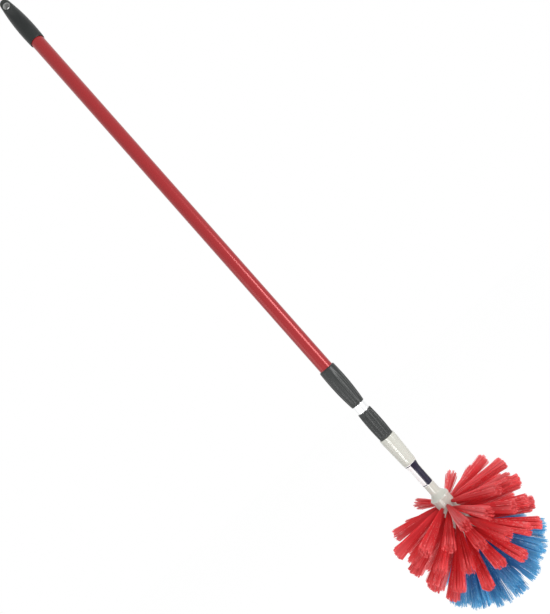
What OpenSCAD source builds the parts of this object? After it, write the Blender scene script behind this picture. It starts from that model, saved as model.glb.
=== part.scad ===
// Telescopic cobweb brush: red steel pole, twist lock, screw-on round head of splayed tufts.
// Origin: centre of the hanging hole. +Z runs up the pole, the head hangs down, the front looks along -Y.
// Lengths are in millimetres. A drop is a distance below the hanging hole.

/* [Tubes] */
// Outside diameter of the red outer tube
outer_tube_d = 22; // [21.6:0.1:22.4]
// Wall of both steel tubes
tube_wall = 1; // [0.8:0.1:1.1]
// Radial gap between the two tubes
tube_gap = 0.5; // [0.4:0.05:0.6]
// Drop of the upper end of the outer tube, inside the cap
outer_tube_drop = 26; // [25:0.5:30]
// Length of the outer tube
outer_tube_len = 759; // [755:1:761]
// Drop of the upper end of the inner tube when the pole is closed
inner_tube_drop = 80; // [75:1:95]

/* [Hanging cap] */
// Height of the tip above the hole
cap_tip_h = 15.3; // [14:0.1:18]
// Drop of the mouth of the cap
cap_mouth_drop = 71.3; // [65:0.1:80]
// Largest diameter of the cap
cap_belly_d = 26.3; // [25.6:0.1:28]
// Drop of the widest place of the cap
cap_belly_drop = 49; // [45:1:55]
// Radius of the long curve of its sides
cap_side_r = 330; // [300:10:400]
// Diameter of the hanging hole
cap_hole_d = 9; // [7:0.5:10]
// Width of the dished edge of the hole
cap_hole_dish = 1.4; // [0.8:0.1:2]
// Thickness of the cap from front to back at the hole
cap_eye_t = 13; // [12:0.5:15]

/* [Lock grip] */
// Distance from the hanging hole to the top of the grip
grip_drop = 739; // [734:1:744]
// Length of the grip
grip_len = 70; // [66:1:74]
// Largest diameter of the grip
grip_belly_d = 27.6; // [27:0.1:29]
// Distance of the widest place from the top of the grip
grip_belly_at = 23; // [20:1:26]
// Radius of the long curve of its sides
grip_side_r = 385; // [360:5:420]
// Number of shallow flutes round the grip
grip_flutes = 8; // [6:1:10]
// Distance from the axis to the bottoms of the flutes at the lower end of the grip
flute_low_r = 11.1; // [11:0.1:11.3]
// Slope of the flutes, outward for each millimetre upward
flute_slope = 0.04; // [0.035:0.001:0.045]
// Length of the guide bush below the outer tube
bush_len = 12; // [10:1:13]

/* [Collar and thread] */
// Bare inner tube between the grip and the collar when the pole is closed
collar_gap = 13.4; // [8:0.1:20]
// Length of the ribbed collar
collar_len = 49.3; // [46:0.1:52]
// Largest diameter of the collar
collar_belly_d = 24.2; // [23.8:0.1:25]
// Radius of the long curve of its sides
collar_side_r = 350; // [320:10:400]
// Number of fine ribs round the collar
collar_ribs = 32; // [24:2:36]
// Depth of the grooves between the ribs
collar_rib_depth = 0.35; // [0.2:0.05:0.5]
// Depth of the seat of the inner tube in the collar
collar_seat = 37.6; // [34:0.1:40]
// Crest diameter of the screw thread
thread_d = 17.2; // [16.8:0.1:17.4]
// Height of the thread ridge
thread_h = 0.9; // [0.7:0.1:1]
// Pitch of the thread
thread_pitch = 4.2; // [3.6:0.1:5]
// Length of the threaded end
thread_len = 28; // [24:1:30]

/* [Socket] */
// Diameter of the mouth of the socket
socket_mouth_d = 25.6; // [25:0.1:27]
// Length of the straight mouth
socket_mouth_len = 11; // [8:1:14]
// Diameter where the taper ends and the shoulder begins
socket_shoulder_d = 22.2; // [21.6:0.1:23]
// Distance of the shoulder from the mouth
socket_shoulder_at = 45.3; // [42:0.1:50]
// Distance of the upper end of the neck from the mouth
socket_neck_at = 63.3; // [60:0.1:68]
// Diameter of the neck
socket_neck_d = 16.6; // [16:0.1:18]
// Length of the socket from mouth to flange face
socket_len = 117.3; // [114:0.1:120]
// Diameter of the flange
flange_d = 30.4; // [30:0.1:32]
// Thickness of the rim of the flange
flange_t = 2.9; // [2:0.1:4]
// Height of the flare above the rim
flare_h = 9; // [7:0.5:10]
// Distance of the label from the mouth
label_at = 50.7; // [50:0.1:53]
// Length of the label, which ends on the neck
label_len = 40; // [30:1:41]
// Thickness of the label
label_t = 0.2; // [0.1:0.05:0.3]
// Thickness of the glue under the label
label_glue = 0.1; // [0.08:0.01:0.15]

/* [Brush core] */
// Diameter of the core under the flange
core_top_d = 28.6; // [28:0.1:29]
// Diameter of the core along its straight part and its round nose
core_d = 30; // [29.6:0.1:30.4]
// Length of the core to the tip of its nose
core_len = 76; // [75:0.5:77]
// Length of the taper under the flange
core_taper = 28; // [24:1:30]
// Diameter of the drilled tuft holes
tuft_hole_d = 4.2; // [4:0.1:4.3]
// Depth of the drilled tuft holes
tuft_hole_depth = 4.6; // [4.4:0.1:4.7]

/* [Tufts] */
// Strands in each tuft, one of them in the middle
tuft_strands = 6; // [5:1:6]
// Radius of the circle of outer strands at the root
strand_root_ring = 1.26; // [1.2:0.01:1.3]
// Radius of the circle of outer strands at the tips of a red tuft
red_tip_ring = 6.9; // [5:0.1:7.4]
// Radius of the circle of outer strands at the tips of a blue tuft
blue_tip_ring = 8.4; // [6:0.1:8.8]
// Half width of a strand at the root
strand_root_r = 0.55; // [0.4:0.05:0.6]
// Half width of a strand at the tip
strand_tip_r = 2.2; // [1:0.1:2.4]
// Unevenness of the cut ends
tip_ragged = 5; // [0:1:8]

/* [Twist lock] */
// Diameter of the stud
stud_d = 6; // [5.6:0.1:6.2]
// Length of the stud above the inner tube
stud_len = 43; // [42:1:44]
// Length of the split collet
collet_len = 24; // [22:1:25]
// Running clearance of the collet in the outer tube
collet_clear = 0.1; // [0.05:0.01:0.1]
// Wide end of the cone inside the collet, diameter
cone_wide_d = 15.2; // [14.8:0.1:15.6]
// Narrow end of the cone inside the collet, diameter
cone_narrow_d = 9.2; // [9:0.1:9.6]
// Width of the slit in the collet
collet_slit = 2.2; // [1.8:0.1:2.6]

/* [Hidden] */

$fn = 64;
past = 1;
running_clear = 0.1;

// Cap
cap_wall_t = 1.2;

// Tubes
outer_tube_r = outer_tube_d / 2;
outer_bore_r = outer_tube_r - tube_wall;
inner_tube_r = outer_bore_r - tube_gap;
inner_bore_r = inner_tube_r - tube_wall;
outer_tube_end = outer_tube_drop + outer_tube_len;

// Grip and collar
grip_end = grip_drop + grip_len;
grip_clear = 0.4;
grip_lip_r = inner_tube_r + grip_clear;
grip_corner = 1.2;
flute_cutter_r = 7;
collar_drop = grip_end + collar_gap;
collar_end = collar_drop + collar_len;
inner_tube_end = collar_drop + collar_seat;
collar_floor = 4;
spigot_r = thread_d / 2 - thread_h;
spigot_bore_r = 5;
thread_end = collar_end + thread_len;
collar_pin_r = 1.5;
collar_pin_at = 24;
collar_pin_drop = collar_drop + collar_pin_at;
collar_pin_in = 1.2;
collar_pin_out = 11.4;

// Socket and core
flange_drop = collar_end + socket_len;
thread_clear = 0.3;
thread_spare = 3;
socket_bore_r = thread_d / 2 + thread_clear;
socket_bore_len = thread_len + thread_spare;
neck_bore_r = 5.6;
socket_floor = 11;
label_from = -115;
label_to = 62;
core_r = core_d / 2;
nose_drop = flange_drop + core_len - core_r;
screw_r = 2;
screw_head_r = 4;
screw_head_h = 3;
screw_len = 33;

// Twist lock, counted from the upper end of the inner tube
spindle_plug_len = 30;
spindle_flange_t = 3;
spindle_flange_r = inner_tube_r - running_clear;
stud_top = inner_tube_drop - stud_len;
collet_gap = 0.3;
collet_end = inner_tube_drop - spindle_flange_t - collet_gap;
collet_top = collet_end - collet_len;
cone_clear = 0.08;
cone_rim = 3;
cone_key = 1.6;
cone_key_r = 9;
stop_r = 5;
stop_h = 2.5;
stop_shank_r = 1.5;
stop_shank_len = 10;
spindle_pin_r = 1.25;
spindle_pin_drop = inner_tube_drop + spindle_plug_len / 2;
spindle_pin_inset = 0.3;

// Tufts. Each ring: number of tufts, turn about the pole, drop of the roots below the flange,
// radius of the circle through the tips, drop of the tips below the flange
red_rings = [
    [9, 0, 11, 105, 16],
    [9, 20, 19, 105, 26],
    [9, 0, 28, 105, 49],
    [9, 20, 37, 103, 65],
    [9, 0, 46, 99, 86],
    [9, 20, 55, 95, 102]
];
blue_rings = [
    [9, 0, 64, 86, 126],
    [7, 25.7, 70.6, 70, 145],
    [5, 0, 74.4, 42, 160],
    [1, 0, 76, 0, 169]
];
anchor_w = 3.4;
anchor_t = 0.6;
anchor_h = 1;
plug_clear = 0.05;
plug_lift = 0.2;
plug_r = tuft_hole_d / 2 - plug_clear;
plug_depth = tuft_hole_depth - anchor_h - plug_lift;
plug_proud = 0.5;

black_plastic = [0.16, 0.165, 0.16];
red_paint = [0.62, 0.13, 0.14];
bright_steel = [0.8, 0.81, 0.82];
cream_plastic = [0.79, 0.79, 0.74];
navy_print = [0.12, 0.11, 0.22];
red_bristle = [0.84, 0.16, 0.2];
blue_bristle = [0.12, 0.38, 0.66];
pale_nylon = [0.85, 0.84, 0.78];

// Points of an arc of a long curve: widest radius, its drop, radius of the curve, from and to drops
function side_arc(wide_r, wide_drop, arc_r, from, to, steps) = [
    for (i = [0:steps])
        let (drop = from + (to - from) * i / steps)
        [wide_r - arc_r + sqrt(arc_r * arc_r - pow(drop - wide_drop, 2)), -drop]
];

// Radius of the core at a distance below the flange
function core_radius(at) =
    at < core_taper ? (core_top_d + (core_d - core_top_d) * at / core_taper) / 2 :
    at < core_len - core_r ? core_r :
    sqrt(max(0, core_r * core_r - pow(at - core_len + core_r, 2)));

// A ring lies between two radii and two drops
module tube(inner_r, outer_r, from, to) {
    translate([0, 0, -to])
        difference() {
            cylinder(r = outer_r, h = to - from);
            translate([0, 0, -past]) cylinder(r = inner_r, h = to - from + 2 * past);
        }
}

// A disc or rod between two drops
module rod(r, from, to) {
    translate([0, 0, -to]) cylinder(r = r, h = to - from);
}

// Hanging cap. Its sides are one long arc that runs into a ball at the tip.
cap_rise = cap_tip_h + cap_belly_drop;
cap_centre_x = cap_side_r - cap_belly_d / 2;
cap_tip_r = (pow(cap_side_r, 2) - pow(cap_centre_x, 2) - pow(cap_rise, 2)) / (2 * (cap_side_r - cap_rise));
cap_tip_z = cap_tip_h - cap_tip_r;
cap_tip_angle = atan2(cap_tip_z + cap_belly_drop, cap_centre_x);
cap_join_z = cap_tip_z + cap_tip_r * sin(cap_tip_angle);

module hanging_cap() {
    color(black_plastic)
        difference() {
            intersection() {
                rotate_extrude()
                    polygon(concat(
                        [[0, -cap_mouth_drop]],
                        side_arc(cap_belly_d / 2, cap_belly_drop, cap_side_r, cap_mouth_drop, -cap_join_z, 10),
                        [for (a = [15:15:75]) [cap_tip_r * cos(a), cap_tip_z + cap_tip_r * sin(a)]],
                        [[0, cap_tip_h]]
                    ));
                cap_flats();
            }
            rod(outer_tube_r, outer_tube_drop, cap_mouth_drop + past);
            rotate([90, 0, 0]) cylinder(d = cap_hole_d, h = 2 * outer_tube_d, center = true);
            for (side = [0, 180])
                rotate([0, 0, side]) cap_hole_edge();
        }
}

// Half thickness of the cap from front to back, and the height that it has there
cap_half_t = [
    [cap_belly_d / 2 + past, -cap_mouth_drop - past], [cap_belly_d / 2 + past, -cap_belly_drop],
    [outer_tube_r + cap_wall_t, -outer_tube_drop], [cap_eye_t / 2 + 1.6, -8], [cap_eye_t / 2, 0],
    [cap_eye_t / 2 - 1.2, 8], [cap_eye_t / 2 - 3, cap_tip_h + past]
];

// The front and back of the cap draw in from the end of the tube towards the eye
module cap_flats() {
    last = len(cap_half_t) - 1;
    rotate([90, 0, 90])
        linear_extrude(height = 2 * cap_belly_d, center = true)
            polygon(concat(cap_half_t, [for (i = [last:-1:0]) [-cap_half_t[i][0], cap_half_t[i][1]]]));
}

// Dished edge of the hanging hole on the front face
module cap_hole_edge() {
    hole_r = cap_hole_d / 2;
    translate([0, -cap_eye_t / 2 - past, 0])
        rotate([-90, 0, 0])
            rotate_extrude()
                polygon([
                    [0, 0], [hole_r + cap_hole_dish + past, 0],
                    [hole_r + cap_hole_dish, past], [hole_r, past + cap_hole_dish], [0, past + cap_hole_dish]
                ]);
}

module outer_tube() {
    color(red_paint) tube(outer_bore_r, outer_tube_r, outer_tube_drop, outer_tube_end);
}

// Grip: a barrel with long shallow flutes that run out under its shoulder
module lock_grip() {
    belly_drop = grip_drop + grip_belly_at;
    belly_r = grip_belly_d / 2;
    top_r = side_arc(belly_r, belly_drop, grip_side_r, grip_drop, grip_drop + 1, 1)[0][0];
    color(black_plastic)
        difference() {
            rotate_extrude()
                polygon(concat(
                    [[grip_lip_r, -grip_drop], [top_r - grip_corner, -grip_drop]],
                    [for (a = [60, 30]) [
                        top_r - grip_corner * (1 - cos(a)), -grip_drop - grip_corner * (1 - sin(a))
                    ]],
                    side_arc(belly_r, belly_drop, grip_side_r, grip_drop + grip_corner, grip_end, 10),
                    [[grip_lip_r, -grip_end]]
                ));
            rod(outer_tube_r, grip_drop - past, outer_tube_end + bush_len);
            for (i = [0:grip_flutes - 1])
                rotate([0, 0, 360 * (i + 0.5) / grip_flutes]) grip_flute();
        }
}

// One flute: a round cutter that leans in towards the lower end of the grip
module grip_flute() {
    translate([flute_low_r + flute_cutter_r, 0, -grip_end])
        rotate([0, atan(flute_slope), 0])
            translate([0, 0, -grip_len / 2]) cylinder(r = flute_cutter_r, h = 2 * grip_len, $fn = 48);
}

module guide_bush() {
    color(pale_nylon)
        tube(inner_tube_r + running_clear, outer_tube_r, outer_tube_end, outer_tube_end + bush_len);
}

// Split collet with a cone inside it
module expander_collet() {
    color(pale_nylon)
        difference() {
            rod(outer_bore_r - collet_clear, collet_top, collet_end);
            translate([0, 0, -collet_end])
                cylinder(d1 = cone_narrow_d, d2 = cone_wide_d, h = collet_len);
            rod(cone_narrow_d / 2, collet_top, collet_end + past);
            translate([0, -collet_slit / 2, -collet_end - past])
                cube([outer_tube_r, collet_slit, collet_len + 2 * past]);
        }
}

// Cone nut: drawn into the collet by the stud, kept from turning by its key in the slit
module cone_nut() {
    key_in = cone_narrow_d / 2 - past;
    color(black_plastic)
        difference() {
            union() {
                translate([0, 0, -collet_end])
                    cylinder(
                        r1 = cone_narrow_d / 2 - cone_clear, r2 = cone_wide_d / 2 - cone_clear, h = collet_len
                    );
                rod(cone_wide_d / 2 - cone_clear, collet_top - cone_rim, collet_top);
                translate([key_in, -cone_key / 2, -collet_end + 2])
                    cube([cone_key_r - key_in, cone_key, collet_len - 4]);
            }
            rod(stud_d / 2 + running_clear, collet_top - cone_rim - past, collet_end + past);
        }
}

module inner_tube() {
    color(bright_steel)
        difference() {
            tube(inner_bore_r, inner_tube_r, inner_tube_drop, inner_tube_end);
            spindle_pin_hole();
            collar_pin_hole();
        }
}

// Plug in the inner tube, with the stud that works the cone
module lock_spindle() {
    color(pale_nylon)
        difference() {
            union() {
                rod(inner_bore_r, inner_tube_drop - past, inner_tube_drop + spindle_plug_len);
                rod(spindle_flange_r, inner_tube_drop - spindle_flange_t, inner_tube_drop);
                rod(stud_d / 2, stud_top, inner_tube_drop);
            }
            spindle_pin_hole();
            rod(stop_shank_r, stud_top - past, stud_top + stop_shank_len);
        }
}

module spindle_pin_hole() {
    translate([0, 0, -spindle_pin_drop])
        rotate([0, 90, 0]) cylinder(r = spindle_pin_r, h = 2 * outer_tube_d, center = true, $fn = 32);
}

module spindle_pin() {
    color(bright_steel)
        translate([0, 0, -spindle_pin_drop])
            rotate([0, 90, 0])
                cylinder(r = spindle_pin_r, h = 2 * (inner_tube_r - spindle_pin_inset), center = true, $fn = 32);
}

// Screw with a broad head that keeps the cone on the stud
module spindle_stop() {
    slot_w = 1.2;
    slot_h = 1;
    color(bright_steel)
        difference() {
            union() {
                rod(stop_r, stud_top - stop_h, stud_top);
                rod(stop_shank_r, stud_top - past, stud_top + stop_shank_len);
            }
            translate([-stop_r - past, -slot_w / 2, -stud_top + stop_h - slot_h])
                cube([2 * (stop_r + past), slot_w, slot_h + past]);
        }
}

// Outline of the ribbed collar seen from its end
function ribbed_ring(r, depth, count) = [
    for (i = [0:2 * count - 1])
        let (a = 180 * i / count, rib = i % 2 == 0 ? r : r - depth)
        [rib * cos(a), rib * sin(a)]
];

// Collar: a ribbed barrel on the end of the inner tube, with the threaded end below it
module thread_collar() {
    belly_r = collar_belly_d / 2;
    belly_drop = collar_drop + collar_len / 2;
    plain_end = 2.5;
    color(black_plastic)
        difference() {
            union() {
                intersection() {
                    rotate_extrude()
                        polygon(concat(
                            [[0, -collar_drop]],
                            side_arc(belly_r, belly_drop, collar_side_r, collar_drop, collar_end, 6),
                            [[0, -collar_end]]
                        ));
                    translate([0, 0, -collar_end])
                        linear_extrude(height = collar_len)
                            polygon(ribbed_ring(belly_r + 0.02, collar_rib_depth, collar_ribs));
                }
                rod(spigot_r, collar_end - plain_end, thread_end);
                thread_ridge();
            }
            rod(inner_tube_r, collar_drop - past, inner_tube_end);
            rod(spigot_bore_r, inner_tube_end + collar_floor, thread_end + past);
            collar_pin_hole();
        }
}

// The ridge of the screw thread: a blunt wedge swept round the threaded end
module thread_ridge() {
    steps = 18;
    turns = 5;
    foot = 0.3;
    root_w = 1.3;
    crest_w = 0.5;
    crest_r = thread_d / 2;
    start = thread_end - 2.5;
    section = [
        [spigot_r - foot, -root_w], [crest_r, -crest_w], [crest_r, crest_w], [spigot_r - foot, root_w]
    ];
    rings = steps * turns;
    points = [
        for (i = [0:rings])
            let (a = 360 * i / steps, z = -start + thread_pitch * i / steps)
            for (p = section) [p[0] * cos(a), p[0] * sin(a), z + p[1]]
    ];
    sides = [
        for (i = [0:rings - 1]) for (k = [0:3])
            let (a = 4 * i + k, b = 4 * i + (k + 1) % 4)
            each [[a, b, a + 4], [b, b + 4, a + 4]]
    ];
    last = 4 * rings;
    polyhedron(points, concat(
        [[0, 2, 1], [0, 3, 2]], sides, [[last, last + 1, last + 2], [last, last + 2, last + 3]]
    ));
}

module collar_pin_hole() {
    translate([0, inner_bore_r - collar_pin_in, -collar_pin_drop])
        rotate([-90, 0, 0]) cylinder(r = collar_pin_r, h = outer_tube_d, $fn = 32);
}

module collar_pin() {
    from = inner_bore_r - collar_pin_in;
    color(bright_steel)
        translate([0, from, -collar_pin_drop])
            rotate([-90, 0, 0]) cylinder(r = collar_pin_r, h = collar_pin_out - from, $fn = 32);
}

// Smooth step from 0 to 1
function ease(u) = (1 - cos(180 * u)) / 2;

// Outer line of the socket from the shoulder to the neck, a little larger by the amount out
function shoulder_line(out, from, to, steps) = [
    for (i = [0:steps])
        let (
            at = from + (to - from) * i / steps,
            u = min(1, max(0, (at - socket_shoulder_at) / (socket_neck_at - socket_shoulder_at)))
        )
        [(socket_shoulder_d + (socket_neck_d - socket_shoulder_d) * ease(u)) / 2 + out, -collar_end - at]
];

module brush_socket() {
    rim = flange_drop - flange_t;
    mouth_corner = 0.5;
    neck_r = socket_neck_d / 2;
    flange_r = flange_d / 2;
    color(cream_plastic)
        difference() {
            rotate_extrude()
                polygon(concat(
                    [
                        [0, -collar_end], [socket_mouth_d / 2 - mouth_corner, -collar_end],
                        [socket_mouth_d / 2, -collar_end - mouth_corner],
                        [socket_mouth_d / 2, -collar_end - socket_mouth_len]
                    ],
                    shoulder_line(0, socket_shoulder_at, socket_neck_at, 8),
                    [
                        [neck_r, -rim + flare_h], [neck_r + 0.4, -rim + flare_h - 2],
                        [neck_r + 1.5, -rim + flare_h - 3.8], [flange_r - 0.8, -rim + 1.2], [flange_r, -rim],
                        [flange_r, -flange_drop], [0, -flange_drop]
                    ]
                ));
            rod(socket_bore_r, collar_end - past, collar_end + socket_bore_len);
            rod(neck_bore_r, collar_end, flange_drop - socket_floor);
            rod(screw_r + 0.2, collar_end, flange_drop + past);
        }
}

// Label: a thin band that follows the shoulder and the neck part of the way round
module socket_label() {
    outside = label_line(label_glue + label_t);
    inside = label_line(label_glue);
    color(navy_print)
        rotate([0, 0, label_from - 90])
            rotate_extrude(angle = label_to - label_from)
                polygon(concat(outside, [for (i = [len(inside) - 1:-1:0]) inside[i]]));
}

// Line of the label: over the last of the shoulder, and then straight down the neck
function label_line(out) = concat(
    shoulder_line(out, label_at, socket_neck_at, 7),
    [[socket_neck_d / 2 + out, -collar_end - label_at - label_len]]
);

// Core: drilled with one blind hole for each tuft
module brush_core() {
    color(cream_plastic)
        difference() {
            rotate_extrude()
                polygon(concat(
                    [[0, -flange_drop], [core_top_d / 2, -flange_drop], [core_r, -flange_drop - core_taper]],
                    [for (a = [0:10:80]) [core_r * cos(a), -nose_drop - core_r * sin(a)]],
                    [[0, -nose_drop - core_r]]
                ));
            rod(screw_r, flange_drop - past, flange_drop - socket_floor + screw_len);
            at_tufts(concat(red_rings, blue_rings))
                translate([0, 0, -tuft_hole_depth])
                    cylinder(d = tuft_hole_d, h = tuft_hole_depth + 2 * past, $fn = 24);
        }
}

module core_screw() {
    seat = flange_drop - socket_floor;
    slot_w = 1.2;
    slot_h = 1.2;
    color(bright_steel)
        difference() {
            union() {
                rod(screw_head_r, seat - screw_head_h, seat);
                rod(screw_r, seat - past, seat + screw_len);
            }
            for (a = [0, 90])
                rotate([0, 0, a])
                    translate([-screw_head_r / 2, -slot_w / 2, -seat + screw_head_h - slot_h])
                        cube([screw_head_r, slot_w, slot_h + past]);
        }
}

// Places its children at every tuft of the given rings, with +Z out along the tuft
module at_tufts(rings) {
    for (ring = rings)
        for (i = [0:ring[0] - 1])
            rotate([0, 0, ring[1] + 360 * i / ring[0] - 90])
                translate([core_radius(ring[2]), 0, -flange_drop - ring[2]])
                    rotate([0, atan2(ring[3] - core_radius(ring[2]), ring[2] - ring[4]), 0])
                        children();
}

// Metal plate at the bottom of each hole, over which the tuft is folded
module tuft_anchors() {
    color(bright_steel)
        at_tufts(concat(red_rings, blue_rings))
            translate([-anchor_w / 2, -anchor_t / 2, -tuft_hole_depth])
                cube([anchor_w, anchor_t, anchor_h]);
}

// One strand: a bar with three sides that widens from the root to its cut end
module strand(root, tip, turn) {
    ring = [for (k = [0:2]) [cos(turn + 120 * k), sin(turn + 120 * k), 0]];
    polyhedron(
        concat([for (p = ring) root + strand_root_r * p], [for (p = ring) tip + strand_tip_r * p]),
        [[0, 1, 2], [3, 5, 4], [0, 4, 1], [0, 3, 4], [1, 5, 2], [1, 4, 5], [2, 3, 0], [2, 5, 3]]
    );
}

// One tuft: strands that spread from the plug in its hole, none crossing another
module tuft(length, tip_ring) {
    outer = tuft_strands - 1;
    translate([0, 0, -plug_depth]) cylinder(r = plug_r, h = plug_depth + plug_proud, $fn = 8);
    strand([0, 0, plug_proud], [0, 0, length], 0);
    for (i = [0:outer - 1])
        let (a = 360 * i / outer, out = [cos(a), sin(a), 0])
            strand(
                strand_root_ring * out + [0, 0, plug_proud],
                tip_ring * out + [0, 0, length - tip_ragged * (0.5 + 0.5 * sin(137 * i))], a + 180
            );
}

// One ring of tufts
module tuft_ring(ring, tip_ring) {
    length = norm([ring[3] - core_radius(ring[2]), ring[4] - ring[2]]);
    resize([0, 0, 0]) at_tufts([ring]) tuft(length, tip_ring);
}

module red_tufts(i) {
    color(red_bristle) tuft_ring(red_rings[i - 1], red_tip_ring);
}

module blue_tufts(i) {
    color(blue_bristle) tuft_ring(blue_rings[i - 1], blue_tip_ring);
}

hanging_cap();
outer_tube();
lock_grip();
guide_bush();
expander_collet();
cone_nut();
inner_tube();
lock_spindle();
spindle_pin();
spindle_stop();
thread_collar();
collar_pin();
brush_socket();
socket_label();
brush_core();
core_screw();
tuft_anchors();
red_tufts(1);  // red_tufts_1
red_tufts(2);  // red_tufts_2
red_tufts(3);  // red_tufts_3
red_tufts(4);  // red_tufts_4
red_tufts(5);  // red_tufts_5
red_tufts(6);  // red_tufts_6
blue_tufts(1);  // blue_tufts_1
blue_tufts(2);  // blue_tufts_2
blue_tufts(3);  // blue_tufts_3
blue_tufts(4);  // blue_tufts_4
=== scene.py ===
"""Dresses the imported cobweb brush: a red telescopic pole with a round head of splayed tufts.

The pole runs along Z and hangs from the hole in its cap, which is the origin. The front looks along -Y.
Sizes are in millimetres until a mesh is finished, and in metres after that.
"""
import logging
import math
import random
from collections.abc import Callable, Iterable, Sequence
from dataclasses import dataclass
from enum import Enum

import bmesh
import bpy
from mathutils import Matrix, Vector


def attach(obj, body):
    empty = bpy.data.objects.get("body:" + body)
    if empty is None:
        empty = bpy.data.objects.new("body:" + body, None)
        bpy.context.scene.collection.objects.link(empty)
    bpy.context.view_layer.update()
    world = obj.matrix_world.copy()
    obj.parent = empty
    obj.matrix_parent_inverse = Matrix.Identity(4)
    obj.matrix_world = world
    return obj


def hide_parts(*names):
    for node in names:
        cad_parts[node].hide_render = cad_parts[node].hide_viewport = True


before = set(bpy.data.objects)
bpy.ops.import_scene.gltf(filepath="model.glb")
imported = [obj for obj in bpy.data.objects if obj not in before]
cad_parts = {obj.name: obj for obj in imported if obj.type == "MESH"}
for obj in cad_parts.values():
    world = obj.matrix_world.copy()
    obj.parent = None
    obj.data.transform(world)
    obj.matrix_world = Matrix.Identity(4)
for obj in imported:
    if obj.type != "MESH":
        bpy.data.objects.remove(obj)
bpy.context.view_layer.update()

MM = 0.001
SIDES = 96
GOLDEN_ANGLE = math.pi * (3.0 - math.sqrt(5.0))
LOG = logging.getLogger("cobweb_brush")

Colour = tuple[float, float, float]
Point = tuple[float, float]
Range = tuple[float, float]
Bend = Callable[[Vector], Vector]
Strand = tuple[Bend, float]

NOTHING: Colour = (0.0, 0.0, 0.0)
WHITE: Colour = (1.0, 1.0, 1.0)
ORIGIN = (0.0, 0.0, 0.0)
POLE_AXIS = (0.0, 0.0, 1.0)

# Levels that two sub-assemblies share.
SOCKET_MOUTH = -871.7
FLANGE = -989.0


class Slot(Enum):
    """Material slots of the record."""

    BLACK = "black_plastic"
    RED = "red_paint"
    BRIGHT = "bright_steel"
    SMALL_STEEL = "small_steel"
    NYLON = "pale_nylon"
    CREAM = "cream_plastic"
    LABEL = "label_film"
    RED_BRISTLE = "red_bristle"
    BLUE_BRISTLE = "blue_bristle"


class Body(Enum):
    """Bodies of the record that carry dressed pieces."""

    POLE = "pole"
    INNER_POLE = "inner_pole"
    HEAD = "head"


class Socket:
    """One output of a shader graph, on which Python's operators add Math nodes."""

    def __init__(self, graph: "NodeTree", source: bpy.types.NodeSocket) -> None:
        """Wraps a socket.

        Args:
            graph: the tree that the socket belongs to.
            source: the node's own output socket.
        """
        self.graph = graph
        self.source = source

    def _math(self, operation: str, first: "Value", second: "Value") -> "Socket":
        """A Math node of two values."""
        return self.graph.add("ShaderNodeMath", {"operation": operation}, {0: first, 1: second})

    def __add__(self, other: "Value") -> "Socket":
        """This value plus another."""
        return self._math("ADD", self, other)

    def __radd__(self, other: "Value") -> "Socket":
        """Another value plus this one."""
        return self._math("ADD", other, self)

    def __sub__(self, other: "Value") -> "Socket":
        """This value less another."""
        return self._math("SUBTRACT", self, other)

    def __rsub__(self, other: "Value") -> "Socket":
        """Another value less this one."""
        return self._math("SUBTRACT", other, self)

    def __mul__(self, other: "Value") -> "Socket":
        """This value times another."""
        return self._math("MULTIPLY", self, other)

    def __rmul__(self, other: "Value") -> "Socket":
        """Another value times this one."""
        return self._math("MULTIPLY", other, self)

    def __truediv__(self, other: "Value") -> "Socket":
        """This value divided by another."""
        return self._math("DIVIDE", self, other)

    def __pow__(self, other: "Value") -> "Socket":
        """This value raised to a power."""
        return self._math("POWER", self, other)

    def __gt__(self, other: "Value") -> "Socket":
        """1 where this value is the larger, and 0 elsewhere."""
        return self._math("GREATER_THAN", self, other)

    def __lt__(self, other: "Value") -> "Socket":
        """1 where this value is the smaller, and 0 elsewhere."""
        return self._math("LESS_THAN", self, other)

    def __abs__(self) -> "Socket":
        """This value without its sign."""
        return self._math("ABSOLUTE", self, 0.0)

    def most(self, other: "Value") -> "Socket":
        """The larger of two values."""
        return self._math("MAXIMUM", self, other)


Value = Socket | float | tuple


class NodeTree:
    """A tree of shader nodes, to which a call adds a node that is set and fed."""

    def __init__(self, tree: bpy.types.NodeTree) -> None:
        """Takes a tree.

        Args:
            tree: the node tree of a material or of the world.
        """
        self.tree = tree

    def add(self, kind: str, settings: dict, inputs: dict, output: int | str = 0) -> Socket:
        """Adds a node, sets it and feeds it.

        Args:
            kind: the node's type.
            settings: its properties; stops are a ramp's places and colours.
            inputs: a value or a socket for each input, by name or number.
            output: the output that is wanted.

        Returns:
            That output.
        """
        node = self.tree.nodes.new(kind)
        for name, value in settings.items():
            if name == "stops":
                self._set_stops(node.color_ramp, value)
            else:
                setattr(node, name, value)
        for name, value in inputs.items():
            self.feed(node.inputs[name], value)
        return Socket(self, node.outputs[output])

    def feed(self, target: bpy.types.NodeSocket, value: Value) -> None:
        """Links a socket to an input, or sets a plain value on it.

        Args:
            target: the input.
            value: what it is fed.
        """
        if isinstance(value, Socket):
            self.tree.links.new(value.source, target)
        else:
            target.default_value = value

    @staticmethod
    def _set_stops(ramp: bpy.types.ColorRamp, stops: Sequence[tuple[float, Colour]]) -> None:
        """Gives a ramp its stops.

        Args:
            ramp: the ramp.
            stops: the place and the colour of each stop.
        """
        while len(ramp.elements) < len(stops):
            ramp.elements.new(1.0)
        for element, (at, colour) in zip(ramp.elements, stops):
            element.position = at
            element.color = (*colour, 1.0)

    def seen(self) -> Socket:
        """Tells the rays that show a surface from those that only carry its light to another.

        Returns:
            1 where it is seen straight, mirrored or through glass, and 0 otherwise.
        """
        node = self.tree.nodes.new("ShaderNodeLightPath")
        kinds = ("Camera", "Glossy", "Transmission")
        camera, glossy, through = (Socket(self, node.outputs[f"Is {kind} Ray"]) for kind in kinds)
        return camera.most(glossy).most(through)


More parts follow.
